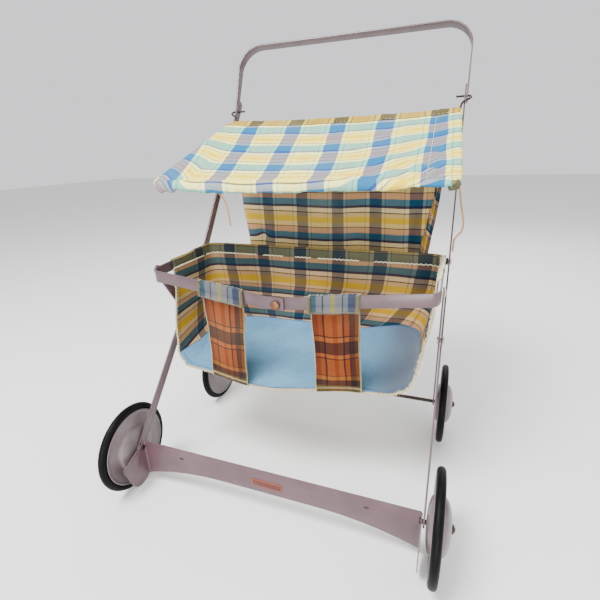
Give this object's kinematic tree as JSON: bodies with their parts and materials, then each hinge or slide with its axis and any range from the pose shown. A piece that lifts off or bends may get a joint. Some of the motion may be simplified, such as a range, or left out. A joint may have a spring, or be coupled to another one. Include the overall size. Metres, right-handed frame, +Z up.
{
  "type": "folding doll pushchair",
  "caption": "Folding doll pushchair: scissor frame of flat steel strip, pressed disc wheels, open-front plaid cloth seat with leg straps, hinged wire canopy and fold-down handle bow.",
  "frame": {"origin": "on the floor under the middle of the overall box, on the plane of symmetry", "axes": "+X to the right of someone facing the front, +Y to the back (handle end), +Z up"},
  "size_m": [0.4106, 0.4368, 0.5721],
  "materials": {
    "frame_enamel": "worn semi-gloss enamel",
    "disc_enamel": "worn semi-gloss enamel on pressed discs",
    "bright_steel": "dull zinc-plated",
    "dark_steel": "dark, oily",
    "tyre_rubber": "matt black rubber",
    "canopy_plaid": "sun-faded woven cotton plaid",
    "basket_plaid": "woven cotton plaid",
    "strap_plaid": "woven cotton plaid, faded orange",
    "pad_cloth": "plain woven cotton over thin wadding",
    "cotton_tape": "thin woven tape",
    "plate_lacquer": "blank lacquered plate"
  },
  "bodies": {
    "frame": {"left_strut": "frame_enamel", "right_strut": "frame_enamel", "front_crossbar": "frame_enamel", "crossbar_plate": "plate_lacquer", "left_front_axle": "bright_steel", "right_front_axle": "bright_steel", "left_front_push_nut": "bright_steel", "right_front_push_nut": "bright_steel", "left_scissor_rivet": "bright_steel", "right_scissor_rivet": "bright_steel", "left_rail_rivet": "bright_steel", "right_rail_rivet": "bright_steel", "left_rail_spacer": "bright_steel", "right_rail_spacer": "bright_steel", "left_tie_loop": "cotton_tape", "right_tie_loop": "cotton_tape", "left_tie_tail": "cotton_tape", "right_tie_tail": "cotton_tape", "canopy_curtain": "canopy_plaid"},
    "rear_legs": {"left_rear_leg": "frame_enamel", "right_rear_leg": "frame_enamel", "left_leg_pin": "bright_steel", "right_leg_pin": "bright_steel", "rear_axle": "bright_steel", "left_rear_push_nut": "bright_steel", "right_rear_push_nut": "bright_steel"},
    "seat": {"left_rim_rail": "frame_enamel", "right_rim_rail": "frame_enamel", "front_rail_rivet": "bright_steel", "rear_rim_bar": "frame_enamel", "basket": "basket_plaid", "seat_pad": "pad_cloth", "left_leg_strap": "strap_plaid", "right_leg_strap": "strap_plaid"},
    "handle": {"handle_bow": "frame_enamel"},
    "canopy": {"canopy_wire": "frame_enamel", "canopy_cover": "canopy_plaid"},
    "left_front_wheel": {"left_front_tyre": "tyre_rubber", "left_front_outer_disc": "disc_enamel", "left_front_inner_disc": "disc_enamel", "left_front_hub_bush": "dark_steel"},
    "left_rear_wheel": {"left_rear_tyre": "tyre_rubber", "left_rear_outer_disc": "disc_enamel", "left_rear_inner_disc": "disc_enamel", "left_rear_hub_bush": "dark_steel"},
    "right_front_wheel": {"right_front_tyre": "tyre_rubber", "right_front_outer_disc": "disc_enamel", "right_front_inner_disc": "disc_enamel", "right_front_hub_bush": "dark_steel"},
    "right_rear_wheel": {"right_rear_tyre": "tyre_rubber", "right_rear_outer_disc": "disc_enamel", "right_rear_inner_disc": "disc_enamel", "right_rear_hub_bush": "dark_steel"}
  },
  "joints": [
    {"name": "leg_fold", "type": "hinge", "parent": "frame", "child": "rear_legs", "pos_m": [0, -0.03542, 0.19785], "axis": [-1, 0, 0], "range_deg": [0, 35]},
    {"name": "seat_tilt", "type": "hinge", "parent": "frame", "child": "seat", "pos_m": [0, 0.0331, 0.274], "axis": [-1, 0, 0], "range_deg": [0, 11]},
    {"name": "handle_fold", "type": "hinge", "parent": "frame", "child": "handle", "pos_m": [0, 0.1743, 0.472], "axis": [-1, 0, 0], "range_deg": [0, 140]},
    {"name": "canopy_lift", "type": "hinge", "parent": "frame", "child": "canopy", "pos_m": [0, 0.1743, 0.472], "axis": [-1, 0, 0], "range_deg": [0, 75]},
    {"name": "left_front_roll", "type": "hinge", "parent": "frame", "child": "left_front_wheel", "pos_m": [-0.1881, -0.1627, 0.0558], "axis": [1, 0, 0], "continuous": true},
    {"name": "left_rear_roll", "type": "hinge", "parent": "rear_legs", "child": "left_rear_wheel", "pos_m": [-0.1855, 0.0548, 0.0558], "axis": [1, 0, 0], "continuous": true},
    {"name": "right_front_roll", "type": "hinge", "parent": "frame", "child": "right_front_wheel", "pos_m": [0.1881, -0.1627, 0.0558], "axis": [1, 0, 0], "continuous": true},
    {"name": "right_rear_roll", "type": "hinge", "parent": "rear_legs", "child": "right_rear_wheel", "pos_m": [0.1855, 0.0548, 0.0558], "axis": [1, 0, 0], "continuous": true}
  ],
  "couplings": [
    {"joint": "seat_tilt", "follows": "leg_fold", "ratio": 0.312}
  ]
}
